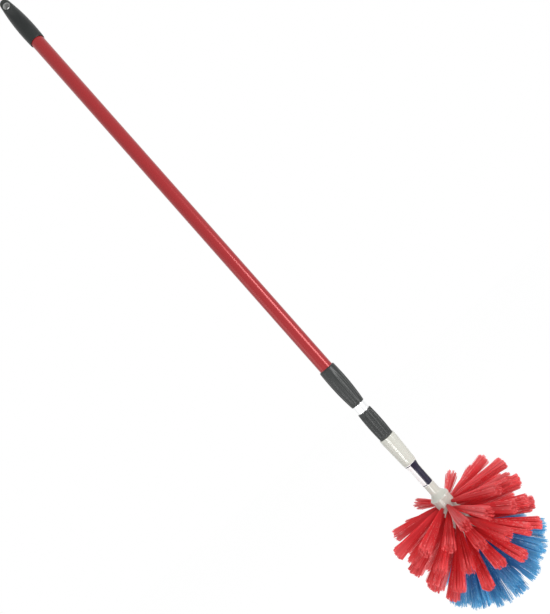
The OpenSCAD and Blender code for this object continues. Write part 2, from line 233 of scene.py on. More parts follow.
class Graph(NodeTree):
    """The node graph of one material, around one Principled shader."""

    def __init__(self, name: str) -> None:
        """Starts a material.

        Args:
            name: the material's name.
        """
        self.material = bpy.data.materials.new(name)
        self.material.use_nodes = True
        super().__init__(self.material.node_tree)
        self.tree.nodes.clear()
        self.shader = self.tree.nodes.new("ShaderNodeBsdfPrincipled")
        self.output = self.tree.nodes.new("ShaderNodeOutputMaterial")
        self.tree.links.new(self.shader.outputs[0], self.output.inputs[0])

    def coordinates(self) -> Socket:
        """The place on the object, in metres in the brush's own frame."""
        return self.add("ShaderNodeTexCoord", {}, {}, "Object")

    def axes(self) -> tuple[Socket, Socket, Socket]:
        """Splits the place on the object.

        Returns:
            Its X, Y and Z.
        """
        node = self.tree.nodes.new("ShaderNodeSeparateXYZ")
        self.feed(node.inputs[0], self.coordinates())
        x, y, z = (Socket(self, out) for out in node.outputs)
        return x, y, z

    def noise(self, scale: float, stretch: tuple = (1.0, 1.0, 1.0), detail: float = 3.0) -> Socket:
        """Noise on object coordinates.

        Args:
            scale: spots in a metre.
            stretch: scale along X, Y and Z.
            detail: octaves.

        Returns:
            A value about 0.5.
        """
        at = self.add("ShaderNodeMapping", {}, {"Vector": self.coordinates(), "Scale": stretch})
        return self.add("ShaderNodeTexNoise", {}, {"Vector": at, "Scale": scale, "Detail": detail})

    def attribute(self, name: str) -> Socket:
        """A number that the mesh holds at each point."""
        return self.add("ShaderNodeAttribute", {"attribute_name": name}, {}, "Fac")

    def ramp(self, value: Value, stops: Sequence[tuple[float, Colour]]) -> Socket:
        """A colour that follows a value."""
        return self.add("ShaderNodeValToRGB", {"stops": stops}, {0: value})

    def mix(self, factor: Value, first: Value, second: Value, blend: str = "MIX") -> Socket:
        """Two colours mixed.

        Args:
            factor: how much of the second.
            first: a colour.
            second: a colour.
            blend: the way of mixing.

        Returns:
            The mixed colour.
        """
        first, second = (c if isinstance(c, Socket) else (*c, 1.0) for c in (first, second))
        return self.add(
            "ShaderNodeMix", {"data_type": "RGBA", "blend_type": blend}, {0: factor, 6: first, 7: second}, 2
        )

    def bump(self, height: Value, strength: float, distance: float) -> Socket:
        """A bumped normal.

        Args:
            height: the relief, from 0 to 1.
            strength: how strongly it shows.
            distance: its depth in metres.

        Returns:
            The normal.
        """
        return self.add(
            "ShaderNodeBump", {}, {"Strength": strength, "Distance": distance, "Height": height}, "Normal"
        )

    def finish(self, **inputs: Value) -> bpy.types.Material:
        """Feeds the shader and returns the material.

        Args:
            inputs: shader inputs, with _ for a space in their names.

        Returns:
            The material.
        """
        for name, value in inputs.items():
            if isinstance(value, tuple) and len(value) == 3:
                value = (*value, 1.0)
            self.feed(self.shader.inputs[name.replace("_", " ")], value)
        return self.material


@dataclass(frozen=True)
class MouldedPlastic:
    """Moulded plastic with a fine spark-eroded grain, cloudy gloss and a little dust in the colour."""

    name: str
    colour: Colour
    dusty: Colour
    gloss: float
    grain: float
    specular: float

    def make(self) -> bpy.types.Material:
        """Builds the material.

        Returns:
            The material.
        """
        graph = Graph(self.name)
        cloud = graph.noise(70.0, (1.0, 1.0, 0.35), 4.0)
        grain = graph.noise(2600.0)
        dust = graph.ramp(cloud, [(0.4, NOTHING), (0.75, WHITE)])
        return graph.finish(
            Base_Color=self.marked(graph, graph.mix(dust, self.colour, self.dusty)),
            Roughness=self.gloss + 0.12 * (cloud - 0.5) + self.grain * (grain - 0.5),
            Specular_IOR_Level=self.specular,
            Normal=graph.bump(grain, self.grain, 0.00012),
        )

    def marked(self, graph: Graph, colour: Socket) -> Socket:
        """The colour with its painted marks, of which plain plastic has none.

        Args:
            graph: the material's graph.
            colour: the plain colour.

        Returns:
            The colour.
        """
        return colour


@dataclass(frozen=True)
class PaintedHighlightPlastic(MouldedPlastic):
    """Moulded plastic with a painted highlight: a pale disc over the dished rim of a hole along Y at the
    origin.
    """

    eye_highlight: Colour
    reach: float

    def marked(self, graph: Graph, colour: Socket) -> Socket:
        """The colour with a painted highlight, a pale ring round the hole.

        Args:
            graph: the material's graph.
            colour: the plain colour.

        Returns:
            The colour.
        """
        x, _, z = graph.axes()
        away = (x * x + z * z) ** 0.5 / MM
        # Painted highlight: pale over the hole and its dished rim, fading out at reach.
        ring = graph.ramp(away / self.reach, [(0.0, WHITE), (0.9, (0.8, 0.8, 0.8)), (1.0, NOTHING)])
        return graph.mix(ring, colour, self.eye_highlight)


@dataclass(frozen=True)
class PaintedSteel:
    """Red coating over a rolled steel tube: glossy, with faint lengthwise streaks and orange peel."""

    name: str
    colour: Colour
    deep: Colour
    sheen: Colour
    scuffed: Colour

    def make(self) -> bpy.types.Material:
        """Builds the material.

        Returns:
            The material.
        """
        graph = Graph(self.name)
        streaks = graph.noise(150.0, (1.0, 1.0, 0.02), 2.0)
        cloud = graph.noise(18.0, (1.0, 1.0, 0.3), 3.0)
        peel = graph.noise(900.0, (1.0, 1.0, 0.6), 2.0)
        scuffs = graph.noise(160.0, (1.0, 1.0, 0.25), 6.0)
        worn = graph.ramp(scuffs, [(0.68, NOTHING), (0.78, WHITE)])
        tint = graph.mix(0.65 * streaks + 0.35 * cloud, self.deep, self.colour)
        return graph.finish(
            Base_Color=graph.mix(0.05 * worn, tint, self.scuffed),
            Roughness=0.3 + 0.03 * (streaks - 0.5) + 0.05 * worn,
            Specular_IOR_Level=0.9,
            Specular_Tint=self.sheen,
            Coat_Weight=0.2,
            Coat_Roughness=0.14,
            Normal=graph.bump(peel, 0.004, 0.0001),
        )


@dataclass(frozen=True)
class DrawnSteel:
    """Bare plated steel with fine lines along Z."""

    name: str
    colour: Colour
    roughness: float

    def make(self) -> bpy.types.Material:
        """Builds the material.

        Returns:
            The material.
        """
        graph = Graph(self.name)
        lines = graph.noise(3000.0, (1.0, 1.0, 0.01), 2.0)
        haze = graph.noise(90.0, (1.0, 1.0, 0.3), 3.0)
        return graph.finish(
            Base_Color=graph.mix(haze, tuple(0.88 * c for c in self.colour), self.colour),
            Metallic=1.0,
            Roughness=self.roughness + 0.1 * (lines - 0.5) + 0.08 * (haze - 0.5),
            Normal=graph.bump(lines, 0.1, 0.0001),
        )


@dataclass(frozen=True)
class LabelFilm:
    """A glossy film label: a dark block with rounded corners beside a pale strip, with nothing written."""

    name: str
    dark: Colour
    pale: Colour
    top: float
    foot: float
    block_from: float
    block_to: float
    corner: float
    rule: float
    neck: float

    def make(self) -> bpy.types.Material:
        """Builds the material.

        Returns:
            The material.
        """
        graph = Graph(self.name)
        x, y, z = graph.axes()
        round_the_neck = graph.add("ShaderNodeMath", {"operation": "ARCTAN2"}, {0: x, 1: 0.0 - y})
        across = 180.0 / math.pi * round_the_neck
        middle = 0.5 * (self.block_from + self.block_to)
        half = 0.5 * (self.block_to - self.block_from)
        past_side = (abs(across - middle) - half) * (math.radians(1.0) * self.neck)
        past_end = abs(z / MM - 0.5 * (self.top + self.foot)) - 0.5 * (self.top - self.foot)
        side, level = past_side + self.corner, past_end + self.corner
        outside = (side.most(0.0) ** 2.0 + level.most(0.0) ** 2.0) ** 0.5 > self.corner
        ruled = (abs(past_end + self.rule) < 0.5 * self.rule) * (across < self.block_from)
        speckle = graph.noise(700.0)
        print_colour = graph.mix(outside, self.dark, self.pale)
        return graph.finish(
            Base_Color=graph.mix(ruled, print_colour, self.dark),
            Roughness=0.34 + 0.1 * (speckle - 0.5),
            Specular_IOR_Level=0.3,
            Coat_Weight=0.1,
            Coat_Roughness=0.12,
            Normal=graph.bump(speckle, 0.03, 0.0001),
        )


@dataclass(frozen=True)
class BristleFinish:
    """Extruded plastic bristles: deep at the root, which paints the shade among the tufts, clear colour along
    the way and pale, split tips, with painted glints as pale flecks and a faint painted glow.
    """

    name: str
    root: Colour
    middle: Colour
    tip: Colour
    glint_colour: Colour
    shadow: Colour
    roughness: float
    painted_glow: float

    def make(self) -> bpy.types.Material:
        """Builds the material.

        Returns:
            The material.
        """
        graph = Graph(self.name)
        along = graph.attribute("along")
        shade = graph.attribute("shade")
        # The deep root colour paints the shade that falls among the tufts near the core.
        stops = [(0.0, self.root), (0.3, self.middle), (0.7, self.middle), (1.0, self.tip)]
        colour = graph.ramp(along + 0.12 * (shade - 0.5), stops)
        varied = graph.mix(0.46 * shade, colour, self.shadow, "MULTIPLY")
        # Painted glints: pale flecks on bristles of the lowest tone past their roots, for the lamps' shine on
        # single bristles.
        glint_spots = graph.noise(260.0, detail=2.0)
        painted_glints = (shade < 0.16) * (along > 0.35) * (glint_spots > 0.52)
        glinted = graph.mix(0.55 * painted_glints, varied, self.glint_colour)
        rough = graph.noise(900.0, detail=2.0)
        return graph.finish(
            Base_Color=glinted,
            # Painted light: the bristles glow faintly in their own colour for the light that passes through
            # the bundle.
            Emission_Color=glinted,
            Emission_Strength=self.painted_glow,
            Roughness=self.roughness + 0.2 * (rough - 0.5),
            Normal=graph.bump(rough, 0.15, 0.0001),
        )


def spaced(start: float, stop: float, steps: int) -> list[float]:
    """Evenly spaced numbers, with both ends."""
    return [start + (stop - start) * i / steps for i in range(steps + 1)]


@dataclass(frozen=True)
class Barrel:
    """A side view that is one long arc."""

    widest: float
    level: float
    curve: float

    def radius(self, z: float) -> float:
        """The radius at a height."""
        return self.widest - self.curve + math.sqrt(self.curve**2 - (z - self.level) ** 2)

    def line(self, start: float, stop: float, steps: int) -> list[Point]:
        """Points of the side between two heights.

        Args:
            start: the first height.
            stop: the last height.
            steps: parts that the line has.

        Returns:
            Radius and height of each point.
        """
        return [(self.radius(z), z) for z in spaced(start, stop, steps)]


def arc_points(centre: Point, radius: float, start: float, stop: float, steps: int) -> list[Point]:
    """Points of an arc.

    Args:
        centre: its centre.
        radius: its radius.
        start: the first angle, in degrees.
        stop: the last angle.
        steps: parts that the arc has.

    Returns:
        The points.
    """
    angles = [math.radians(angle) for angle in spaced(start, stop, steps)]
    return [(centre[0] + radius * math.cos(a), centre[1] + radius * math.sin(a)) for a in angles]


def ease(u: float) -> float:
    """A smooth step from 0 to 1."""
    return 0.5 - 0.5 * math.cos(math.pi * min(1.0, max(0.0, u)))


def soft_least(first: float, second: float, width: float) -> float:
    """The lesser of two numbers, with a rounded change from one to the other.

    Args:
        first: a number.
        second: a number.
        width: how near they are where the rounding starts.

    Returns:
        The rounded minimum.
    """
    near = max(0.0, width - abs(first - second)) / width
    return min(first, second) - 0.25 * width * near * near


def spin_line(line: Sequence[Point], closed: bool, steps: int, angle: float = 360.0) -> bmesh.types.BMesh:
    """Turns a line of radii and heights round the pole's axis.

    Args:
        line: radius and height of each point.
        closed: whether the line closes on itself, as a tube's does.
        steps: sides of the round.
        angle: how far it turns, in degrees.

    Returns:
        The mesh, with its faces outwards.
    """
    bm = bmesh.new()
    verts = [bm.verts.new((r, 0.0, z)) for r, z in line]
    followers = verts[1:] + verts[:1] if closed else verts[1:]
    edges = [bm.edges.new(pair) for pair in zip(verts, followers)]
    bmesh.ops.spin(
        bm, geom=verts + edges, cent=ORIGIN, axis=POLE_AXIS, dvec=ORIGIN, angle=math.radians(angle),
        steps=steps, use_merge=angle == 360.0, use_duplicate=False,
    )
    bmesh.ops.remove_doubles(bm, verts=bm.verts, dist=1e-4)
    bmesh.ops.recalc_face_normals(bm, faces=bm.faces)
    return bm


def soften(bm: bmesh.types.BMesh, width: float, sharper_than: float = 40.0) -> None:
    """Rounds the sharp edges of a mesh.

    Args:
        bm: the mesh.
        width: width of the rounding.
        sharper_than: the least angle that counts as sharp, in degrees.
    """
    limit = math.radians(sharper_than)
    sharp = [e for e in bm.edges if len(e.link_faces) == 2 and e.calc_face_angle(0.0) > limit]
    bmesh.ops.bevel(
        bm, geom=sharp, offset=width, offset_type="OFFSET", segments=2, profile=0.5,
        affect="EDGES", clamp_overlap=True, material=-1,
    )


def mesh_of(name: str, bm: bmesh.types.BMesh) -> bpy.types.Mesh:
    """Turns an edit mesh into a mesh.

    Args:
        name: the mesh's name.
        bm: the edit mesh, which is freed.

    Returns:
        The mesh.
    """
    mesh = bpy.data.meshes.new(name)
    bm.to_mesh(mesh)
    bm.free()
    return mesh


def add_object(name: str, data: bpy.types.ID) -> bpy.types.Object:
    """Adds an object to the scene.

    Args:
        name: its name.
        data: its mesh, lamp or camera.

    Returns:
        The object.
    """
    added = bpy.data.objects.new(name, data)
    bpy.context.scene.collection.objects.link(added)
    return added


def finish_mesh(name: str, bm: bmesh.types.BMesh, smooth_to: float = 35.0) -> bpy.types.Object:
    """Makes an object of a mesh in millimetres.

    Args:
        name: the object's name.
        bm: the mesh, which is freed.
        smooth_to: edges flatter than this are shaded smooth, in degrees.

    Returns:
        The object, at the origin, in metres.
    """
    bmesh.ops.scale(bm, vec=(MM, MM, MM), verts=bm.verts)
    mesh = mesh_of(name, bm)
    mesh.shade_smooth()
    mesh.set_sharp_from_angle(angle=math.radians(smooth_to))
    return add_object(name, mesh)


def widen(vert: bmesh.types.BMVert, factor: float) -> None:
    """Multiplies a point's distance from the pole's axis."""
    vert.co.x *= factor
    vert.co.y *= factor


def place(
    piece: bpy.types.Object, material: bpy.types.Material, slot: Slot, body: Body, nodes: Iterable[str]
) -> None:
    """Gives a piece its material, slot, body and the CAD nodes that it stands for, and reports it.

    Args:
        piece: the object.
        material: its material.
        slot: the record's slot, which is not used.
        body: the body that it rides on.
        nodes: nodes that it replaces.
    """
    piece.data.materials.clear()
    piece.data.materials.append(material)
    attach(piece, body.value)
    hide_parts(*nodes)
    LOG.info("%s: %d faces, on %s", piece.name, len(piece.data.polygons), body.value)


class Finishes:
    """Every material of the brush, made once."""

    def __init__(self) -> None:
        """Builds the materials."""
        made = {
            Slot.BLACK: MouldedPlastic(
                "moulded black", colour=(0.022, 0.0245, 0.024), dusty=(0.032, 0.035, 0.034),
                gloss=0.36, grain=0.02, specular=0.34,
            ),
            Slot.NYLON: MouldedPlastic(
                "natural nylon", colour=(0.66, 0.64, 0.56), dusty=(0.72, 0.7, 0.62),
                gloss=0.4, grain=0.04, specular=0.5,
            ),
            Slot.CREAM: MouldedPlastic(
                "cream plastic", colour=(0.52, 0.522, 0.468), dusty=(0.535, 0.537, 0.484),
                gloss=0.17, grain=0.002, specular=0.5,
            ),
            Slot.RED: PaintedSteel(
                "red coating", colour=(0.295, 0.016, 0.019), deep=(0.255, 0.012, 0.015),
                sheen=(1.0, 0.27, 0.27), scuffed=(0.6, 0.2, 0.2),
            ),
            Slot.BRIGHT: DrawnSteel("bright tube", colour=(0.93, 0.935, 0.94), roughness=0.2),
            Slot.SMALL_STEEL: DrawnSteel("zinc plated steel", colour=(0.66, 0.66, 0.65), roughness=0.34),
            Slot.LABEL: LabelFilm(
                "label film", dark=(0.0085, 0.0065, 0.026), pale=(0.87, 0.87, 0.87), top=-922.9, foot=-962.1,
                block_from=-15.0, block_to=62.0, corner=2.2, rule=1.3, neck=8.6,
            ),
            # The bristle finishes paint shade at the root, glints as pale flecks and a faint glow.
            Slot.RED_BRISTLE: BristleFinish(
                "red bristles", root=(0.7, 0.03, 0.036), middle=(0.95, 0.06, 0.07), tip=(0.97, 0.14, 0.145),
                glint_colour=(0.97, 0.42, 0.42), shadow=(0.45, 0.42, 0.48), roughness=0.32, painted_glow=0.05,
            ),
            Slot.BLUE_BRISTLE: BristleFinish(
                "blue bristles", root=(0.05, 0.1, 0.38), middle=(0.06, 0.28, 0.64), tip=(0.13, 0.49, 0.8),
                glint_colour=(0.46, 0.76, 0.94), shadow=(0.45, 0.42, 0.48), roughness=0.32, painted_glow=0.04,
            ),
        }
        self._materials = {slot: finish.make() for slot, finish in made.items()}
        # The cap's black carries a painted highlight round its eye.
        self.cap = PaintedHighlightPlastic(
            "black with a painted highlight at the eye", colour=(0.012, 0.0145, 0.014), dusty=(0.021, 0.024, 0.023),
            gloss=0.36, grain=0.02, specular=0.26, eye_highlight=(0.34, 0.345, 0.34), reach=6.1,
        ).make()

    def __getitem__(self, slot: Slot) -> bpy.types.Material:
        """The material of a slot."""
        return self._materials[slot]


@dataclass
class HangingCap:
    """Black cap on the pole's upper end: a barrel that draws in to a flat eye with a hole through it."""

    side: Barrel = Barrel(13.15, -49.0, 330.0)
    tip: float = 15.3
    mouth: float = -71.3
    bore: float = 11.0
    bore_end: float = -26.0
    hole: float = 4.5
    dish: float = 1.4
    socket_half: float = 12.2
    socket_splay: float = 0.06
    eye_half: float = 6.5
    tip_draw: float = 3.0
    edge: float = 1.6
    lip: float = 0.6
    wall: float = 0.9

    def flat_at(self, z: float) -> float:
        """Half of the cap's thickness from front to back.

        Args:
            z: the height at which it is wanted.

        Returns:
            The half thickness.
        """
        if z <= self.bore_end:
            return self.socket_half + self.socket_splay * (self.bore_end - z)
        if z <= 0.0:
            share = (z - self.bore_end) / -self.bore_end
            drawn = 0.55 * share + 0.45 * ease(share)
            return self.socket_half + (self.eye_half - self.socket_half) * drawn
        return self.eye_half - self.tip_draw * (z / self.tip) ** 1.5

    def outline(self) -> list[Point]:
        """The side view, from the tip over the outside and back up the bore.

        Returns:
            Radius and height of each point.
        """
        rise = self.tip - self.side.level
        centre = self.side.curve - self.side.widest
        ball = (self.side.curve**2 - centre**2 - rise**2) / (2 * (self.side.curve - rise))
        level = self.tip - ball
        joint = math.degrees(math.atan2(level - self.side.level, centre))
        foot = self.mouth + self.lip
        top = arc_points((0.0, level), ball, 90.0, joint, 12)
        top[0] = (0.0, self.tip)
        wide = self.side.radius(foot)
        return (
            top
            + self.side.line(top[-1][1], foot, 26)[1:]
            + [(wide - 0.25, self.mouth + 0.15), (wide - 0.7, self.mouth), (self.bore + 0.5, self.mouth)]
            + [(self.bore, self.mouth + 0.5), (self.bore, self.bore_end), (0.0, self.bore_end)]
        )

    def build(self) -> bpy.types.Object:
        """Spins the cap, flattens its eye and cuts the hole.

        Returns:
            The cap.
        """
        bm = spin_line(self.outline(), False, SIDES)
        for vert in bm.verts:
            reach = math.hypot(vert.co.x, vert.co.y)
            if vert.co.z > self.bore_end + 0.1 or reach > self.bore + self.wall:
                flat = self.flat_at(vert.co.z)
                vert.co.y = math.copysign(soft_least(abs(vert.co.y), flat, self.edge), vert.co.y)
        piece = finish_mesh("cap_body", bm)
        cutter = finish_mesh("cap_cutter", self._hole())
        cut = piece.modifiers.new("hole", "BOOLEAN")
        cut.object = cutter
        cut.operation = "DIFFERENCE"
        cut.solver = "EXACT"
        depsgraph = bpy.context.evaluated_depsgraph_get()
        mesh = bpy.data.meshes.new_from_object(piece.evaluated_get(depsgraph))
        piece.modifiers.clear()
        piece.data = mesh
        bpy.data.objects.remove(cutter)
        mesh.name = piece.name
        mesh.set_sharp_from_angle(angle=math.radians(35.0))
        return piece

    def _hole(self) -> bmesh.types.BMesh:
        """The cutter of the hole: a bore along Y whose ends flare.

        Returns:
            Its mesh, in millimetres.
        """
        half = self.eye_half
        mouth = arc_points((self.hole + self.dish, half - self.dish), self.dish, 180.0, 105.0, 6)
        wider, past_cap = 1.5, 6.0
        side = mouth + [(mouth[-1][0] + wider, mouth[-1][1] + past_cap)]
        line = [(0.0, -side[-1][1])] + [(r, -z) for r, z in reversed(side)] + side + [(0.0, side[-1][1])]
        bm = spin_line(line, False, 64)
        turn = Matrix.Rotation(math.pi / 2, 3, "X")
        bmesh.ops.rotate(bm, cent=ORIGIN, matrix=turn, verts=bm.verts)
        return bm


@dataclass
class Pole:
    """The outer tube with its cap and lock grip, and the inner tube with its ribbed, threaded collar."""

    tube: float = 11.0
    tube_bore: float = 10.0
    tube_top: float = -26.0
    tube_foot: float = -785.0
    tube_edge: float = 0.2
    end_cut: float = 1.5
    inner: float = 9.5
    inner_bore: float = 8.5
    inner_top: float = -80.0
    inner_foot: float = -860.0
    grip: Barrel = Barrel(13.8, -762.0, 385.0)
    grip_top: float = -739.0
    grip_foot: float = -809.0
    grip_corner: float = 1.6
    grip_rim: float = 2.2
    grip_lip: float = 9.9
    bush_foot: float = -797.0
    flutes: int = 8
    flute_cutter: float = 7.0
    flute_low: float = 11.1
    flute_slope: float = 0.04
    flute_blend: float = 0.5
    collar: Barrel = Barrel(12.1, -847.05, 350.0)
    collar_top: float = -822.4
    collar_foot: float = SOCKET_MOUTH
    ribs: int = 32
    rib_depth: float = 0.42
    rib_margin: float = 1.0
    rib_fade: float = 2.0
    spigot: float = 7.7
    spigot_bore: float = 5.0
    spigot_foot: float = -899.7
    thread_pitch: float = 4.2
    thread_height: float = 0.9
    thread_turns: float = 5.0
    thread_start: float = 2.5
    thread_steps: int = 36

    def build(self, finishes: Finishes) -> None:
        """Builds and dresses every piece of the pole.

        Args:
            finishes: the brush's materials.
        """
        place(HangingCap().build(), finishes.cap, Slot.BLACK, Body.POLE, ["hanging_cap"])
        outer = self._tube("red_tube", self.tube, self.tube_bore, self.tube_top, self.tube_foot)
        place(outer, finishes[Slot.RED], Slot.RED, Body.POLE, ["outer_tube"])
        place(self._grip(), finishes[Slot.BLACK], Slot.BLACK, Body.POLE, ["lock_grip"])
        inner = self._tube("bright_tube", self.inner, self.inner_bore, self.inner_top, self.inner_foot)
        place(inner, finishes[Slot.BRIGHT], Slot.BRIGHT, Body.INNER_POLE, ["inner_tube"])
        place(self._collar(), finishes[Slot.BLACK], Slot.BLACK, Body.INNER_POLE, ["thread_collar"])

    def _tube(self, name: str, outer: float, bore: float, top: float, foot: float) -> bpy.types.Object:
        """A round tube with broken edges, cut once near each end to keep the ends' shading off its length.

        Args:
            name: the tube's name.
            outer: its radius.
            bore: its inner radius.
            top: the height of its upper end.
            foot: the height of its lower end.

        Returns:
            The tube.
        """
        heights = [top, top - self.end_cut, foot + self.end_cut, foot]
        wall = [(outer, z) for z in heights]
        lining = [(bore, z) for z in reversed(heights)]
        bm = spin_line(wall + lining, True, SIDES)
        soften(bm, self.tube_edge)
        return finish_mesh(name, bm)

    def _grip(self) -> bpy.types.Object:
        """The lock grip: a barrel with long shallow flutes that run out under its shoulder.

        Returns:
            The grip.
        """
        corner = self.grip_corner
        shoulder = self.grip.radius(self.grip_top)
        top = arc_points((shoulder - corner, self.grip_top - corner), corner, 90.0, 10.0, 5)
        rim = self.grip_foot + self.grip_rim
        pitch = math.tau / self.flutes
        foot = self.grip.radius(self.grip_foot)
        line = (
            [(self.tube, self.grip_top)] + top
            + self.grip.line(self.grip_top - corner, rim, 40)
            + [(foot + 0.05, rim - 0.35), (foot + 0.1, self.grip_foot + 0.5), (foot - 0.4, self.grip_foot)]
            + [(self.grip_lip, self.grip_foot), (self.grip_lip, self.bush_foot), (self.tube, self.bush_foot)]
        )
        bm = spin_line(line, True, 2 * SIDES)
        for vert in bm.verts:
            reach = math.hypot(vert.co.x, vert.co.y)
            if reach < self.tube + 0.2 or vert.co.z < rim:
                continue
            turn = (math.atan2(vert.co.y, vert.co.x) % pitch) - 0.5 * pitch
            centre = self.flute_low + self.flute_cutter + self.flute_slope * (vert.co.z - self.grip_foot)
            off = centre * math.sin(turn)
            bottom = centre * math.cos(turn) - math.sqrt(max(0.0, self.flute_cutter**2 - off**2))
            deep = soft_least(reach, bottom, self.flute_blend) if abs(off) < self.flute_cutter else reach
            widen(vert, deep / reach)
        return finish_mesh("grip_sleeve", bm, 30.0)

    def _collar(self) -> bpy.types.Object:
        """The ribbed collar with the hollow threaded end below it.

        Returns:
            The collar.
        """
        line = (
            [(self.inner, self.collar_top), (self.collar.radius(self.collar_top) - 0.6, self.collar_top)]
            + self.collar.line(self.collar_top - 0.5, self.collar_foot + 0.5, 24)
            + [(self.collar.radius(self.collar_foot) - 0.6, self.collar_foot)]
            + [(self.spigot, self.collar_foot), (self.spigot, self.spigot_foot + 0.8)]
            + [(self.spigot - 0.8, self.spigot_foot), (self.spigot_bore, self.spigot_foot)]
            + [(self.spigot_bore, self.inner_foot - 4.0), (0.0, self.inner_foot - 4.0)]
        )
        seat = [(0.0, self.inner_foot), (self.inner, self.inner_foot)]
        bm = spin_line(seat + line, False, 6 * self.ribs)
        for vert in bm.verts:
            reach = math.hypot(vert.co.x, vert.co.y)
            below_top = self.collar_top - self.rib_margin - vert.co.z
            above_foot = vert.co.z - self.collar_foot - self.rib_margin
            if reach < self.inner + 0.5 or min(below_top, above_foot) <= 0.0:
                continue
            groove = max(0.0, -math.cos(math.atan2(vert.co.y, vert.co.x) * self.ribs))
            ends = ease(below_top / self.rib_fade) * ease(above_foot / self.rib_fade)
            widen(vert, 1.0 - self.rib_depth * groove * ends / reach)
        self._add_thread(bm)
        return finish_mesh("ribbed_collar", bm, 30.0)

    def _add_thread(self, bm: bmesh.types.BMesh) -> None:
        """Winds the ridge of the thread round the threaded end.

        Args:
            bm: the collar's mesh, to which it is added.
        """
        sunk, root, crest = 0.3, 1.3, 0.5
        foot, tip = self.spigot - sunk, self.spigot + self.thread_height
        level = self.spigot_foot + self.thread_start
        section = [(foot, -root), (tip, -crest), (tip, crest), (foot, root)]
        verts = [bm.verts.new((r, 0.0, level + z)) for r, z in section]
        face = bm.faces.new(verts)
        bmesh.ops.spin(
            bm, geom=[face, *face.edges, *verts], cent=ORIGIN, axis=POLE_AXIS,
            dvec=(0.0, 0.0, self.thread_pitch / self.thread_steps), angle=math.tau * self.thread_turns,
            steps=int(self.thread_steps * self.thread_turns), use_merge=False, use_duplicate=False,
        )
        bmesh.ops.recalc_face_normals(bm, faces=bm.faces)


@dataclass
class BrushSocket:
    """The off-white socket that screws on the pole, with its bare label."""

    mouth: float = SOCKET_MOUTH
    mouth_radius: float = 12.8
    mouth_foot: float = -882.7
    shoulder: float = -917.0
    shoulder_radius: float = 11.1
    neck_top: float = -935.0
    neck: float = 8.3
    flare_top: float = -977.1
    rim_top: float = -986.1
    flange: float = FLANGE
    flange_radius: float = 15.2
    thread_bore: float = 8.9
    thread_foot: float = -902.7
    neck_bore: float = 5.6
    floor: float = -978.0
    screw_hole: float = 2.2
    label_top: float = -922.4
    label_foot: float = -962.4
    label_from: float = -115.0
    label_to: float = 62.0
    label_under: float = 0.1
    label_thick: float = 0.2

    def radius(self, z: float) -> float:
        """The outer radius between the shoulder and the neck."""
        return self.shoulder_radius + (self.neck - self.shoulder_radius) * ease(
            (self.shoulder - z) / (self.shoulder - self.neck_top)
        )

    def build(self, finishes: Finishes) -> None:
        """Builds and dresses the socket and its label.

        Args:
            finishes: the brush's materials.
        """
        place(self._socket(), finishes[Slot.CREAM], Slot.CREAM, Body.HEAD, ["brush_socket"])
        place(self._label(), finishes[Slot.LABEL], Slot.LABEL, Body.HEAD, ["socket_label"])

    def _socket(self) -> bpy.types.Object:
        """The socket: mouth ring, taper, shoulder, neck, flare and flange, with its stepped bore.

        Returns:
            The socket.
        """
        ring, rim = self.mouth_radius, self.flange_radius
        widths = spaced(ring - 0.15, self.shoulder_radius, 8)
        taper = list(zip(widths, spaced(self.mouth_foot - 0.6, self.shoulder, 8)))[:-1]
        curve = [(self.radius(z), z) for z in spaced(self.shoulder, self.neck_top, 16)]
        line = (
            [(self.thread_bore, self.mouth - 0.4), (self.thread_bore + 0.4, self.mouth)]
            + [(ring - 0.6, self.mouth), (ring - 0.15, self.mouth - 0.15), (ring, self.mouth - 0.6)]
            + [(ring, self.mouth - 1.2), (ring, self.mouth_foot + 0.9)]
            + [(ring, self.mouth_foot + 0.3), (ring - 0.08, self.mouth_foot)]
            + taper + curve
            + [(self.neck, self.flare_top + 0.3), (self.neck + 0.12, self.flare_top - 0.8)]
            + [(self.neck + 0.5, self.flare_top - 2.0), (self.neck + 1.3, self.flare_top - 3.2)]
            + [(self.neck + 2.6, self.flare_top - 4.6), (rim - 2.4, self.rim_top + 2.0)]
            + [(rim - 0.9, self.rim_top + 0.9), (rim - 0.25, self.rim_top + 0.3)]
            + [(rim, self.rim_top - 0.2), (rim, self.flange + 0.3)]
            + [(rim - 0.3, self.flange), (self.screw_hole, self.flange)]
            + [(self.screw_hole, self.floor), (self.neck_bore, self.floor)]
            + [(self.neck_bore, self.thread_foot), (self.thread_bore, self.thread_foot)]
        )
        return finish_mesh("socket_body", spin_line(line, True, SIDES), 38.0)

    def _label(self) -> bpy.types.Object:
        """The label: a thin film that follows the shoulder and the neck part of the way round.

        Returns:
            The label.
        """
        heights = spaced(self.label_top, self.label_foot, 24)
        outer = [(self.radius(z) + self.label_under + self.label_thick, z) for z in heights]
        inner = [(self.radius(z) + self.label_under, z) for z in reversed(heights)]
        bm = spin_line(outer + inner, True, 72, self.label_to - self.label_from)
        bmesh.ops.holes_fill(bm, edges=bm.edges, sides=0)
        bmesh.ops.recalc_face_normals(bm, faces=bm.faces)
        turn = Matrix.Rotation(math.radians(self.label_from - 90.0), 3, "Z")
        bmesh.ops.rotate(bm, cent=ORIGIN, matrix=turn, verts=bm.verts)
        return finish_mesh("label", bm)


class Cut(Enum):
    """How a tuft ends: how uneven it is, half of its width there, half of a bristle's width, and locks."""

    BLUNT = (4.5, 10.0, 0.38, 11)
    FRAYED = (13.0, 13.4, 0.34, 15)

    @property
    def ragged(self) -> float:
        """How uneven the ends are."""
        return self.value[0]

    @property
    def spread(self) -> float:
        """Half of the tuft's width at its ends."""
        return self.value[1]

    @property
    def tip(self) -> float:
        """Half of a bristle's width at its end."""
        return self.value[2]

    @property
    def locks(self) -> int:
        """Bunches of bristles that keep together."""
        return self.value[3]


@dataclass(frozen=True)
class TuftRing:
    """One ring of tufts: its node, how many, where they root and where they end."""

    node: str
    slot: Slot
    cut: Cut
    count: int
    turn: float
    root: float
    reach: float
    drop: float


